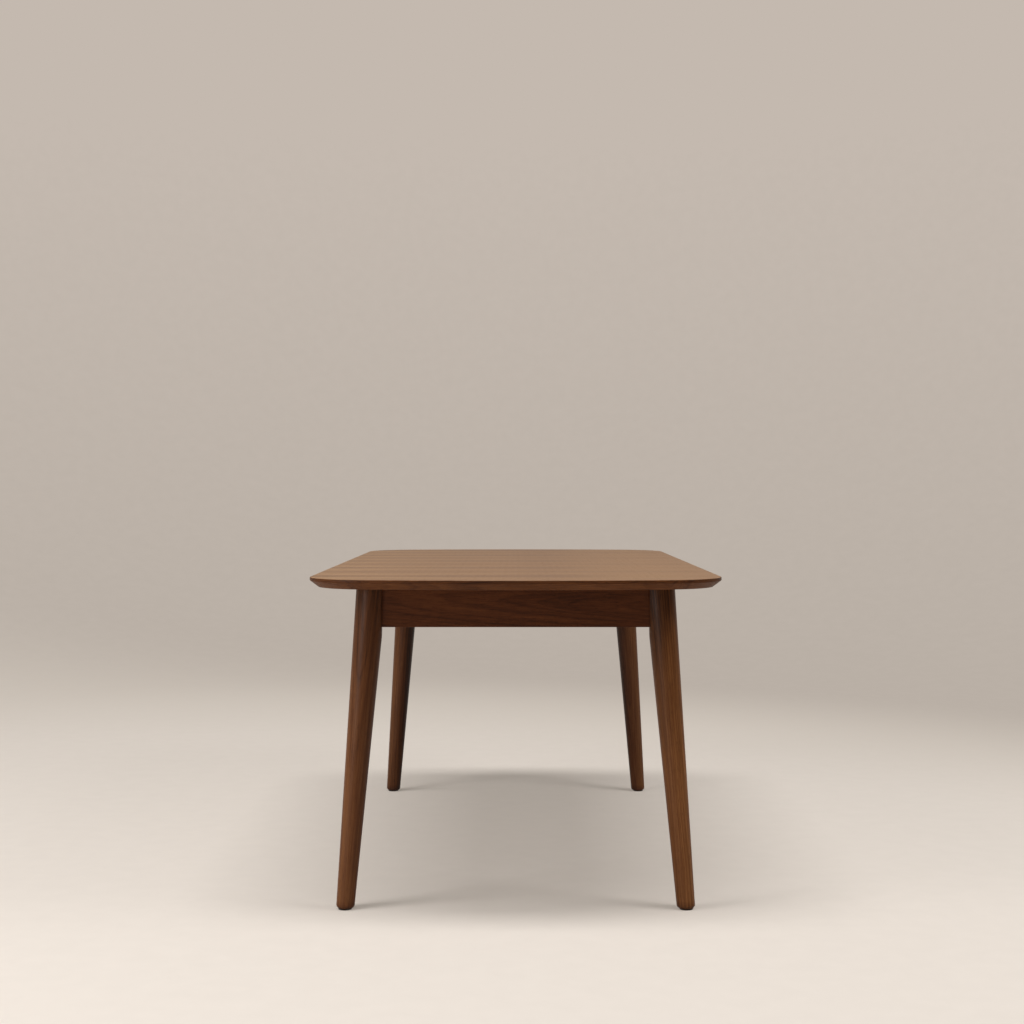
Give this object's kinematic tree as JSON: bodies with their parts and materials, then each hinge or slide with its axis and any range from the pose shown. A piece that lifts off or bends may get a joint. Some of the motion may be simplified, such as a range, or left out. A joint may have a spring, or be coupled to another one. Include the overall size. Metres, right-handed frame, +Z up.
{
  "type": "dining table",
  "caption": "Rectangular dining table with a soft-cornered, under-bevelled veneered top on an apron frame and splayed round tapered legs with levelling feet.",
  "frame": {"origin": "on the floor under the middle of the tabletop", "axes": "+X across the table to the right in the picture, +Y along it away from the camera, +Z up"},
  "size_m": [0.92, 1.83, 0.75],
  "materials": {
    "walnut_veneer": "satin lacquer",
    "walnut_backing_veneer": "sealed",
    "walnut_lipping": "satin lacquer",
    "walnut_apron": "satin lacquer",
    "walnut_leg": "satin lacquer",
    "fibreboard": "raw board",
    "beech": "planed",
    "zinc_plated_steel": "bright zinc",
    "brass": "turned",
    "black_nylon": "moulded"
  },
  "bodies": {
    "table": {"top_veneer": "walnut_veneer", "underside_veneer": "walnut_backing_veneer", "top_core": "fibreboard", "cross_rail": "beech", "hanger_bolts": "zinc_plated_steel", "hanger_washers": "zinc_plated_steel", "hanger_nuts": "zinc_plated_steel", "corner_bracket_screws": "zinc_plated_steel", "top_angles": "zinc_plated_steel", "top_angle_screws": "zinc_plated_steel", "side_lipping_left": "walnut_lipping", "side_apron_left": "walnut_apron", "side_lipping_right": "walnut_lipping", "side_apron_right": "walnut_apron", "end_lipping_front": "walnut_lipping", "end_apron_front": "walnut_apron", "end_lipping_back": "walnut_lipping", "end_apron_back": "walnut_apron", "corner_lipping_front_left": "walnut_lipping", "leg_front_left": "walnut_leg", "corner_bracket_front_left": "zinc_plated_steel", "foot_insert_front_left": "brass", "corner_lipping_front_right": "walnut_lipping", "leg_front_right": "walnut_leg", "corner_bracket_front_right": "zinc_plated_steel", "foot_insert_front_right": "brass", "corner_lipping_back_left": "walnut_lipping", "leg_back_left": "walnut_leg", "corner_bracket_back_left": "zinc_plated_steel", "foot_insert_back_left": "brass", "corner_lipping_back_right": "walnut_lipping", "leg_back_right": "walnut_leg", "corner_bracket_back_right": "zinc_plated_steel", "foot_insert_back_right": "brass"},
    "levelling_foot_front_left": {"levelling_stud_front_left": "zinc_plated_steel", "levelling_pad_front_left": "black_nylon"},
    "levelling_foot_front_right": {"levelling_stud_front_right": "zinc_plated_steel", "levelling_pad_front_right": "black_nylon"},
    "levelling_foot_back_left": {"levelling_stud_back_left": "zinc_plated_steel", "levelling_pad_back_left": "black_nylon"},
    "levelling_foot_back_right": {"levelling_stud_back_right": "zinc_plated_steel", "levelling_pad_back_right": "black_nylon"}
  },
  "joints": [
    {"name": "levelling_screw_front_left", "type": "slide", "parent": "table", "child": "levelling_foot_front_left", "axis": [0, 0, -1], "range_m": [0, 0.01]},
    {"name": "levelling_screw_front_right", "type": "slide", "parent": "table", "child": "levelling_foot_front_right", "axis": [0, 0, -1], "range_m": [0, 0.01]},
    {"name": "levelling_screw_back_left", "type": "slide", "parent": "table", "child": "levelling_foot_back_left", "axis": [0, 0, -1], "range_m": [0, 0.01]},
    {"name": "levelling_screw_back_right", "type": "slide", "parent": "table", "child": "levelling_foot_back_right", "axis": [0, 0, -1], "range_m": [0, 0.01]}
  ]
}
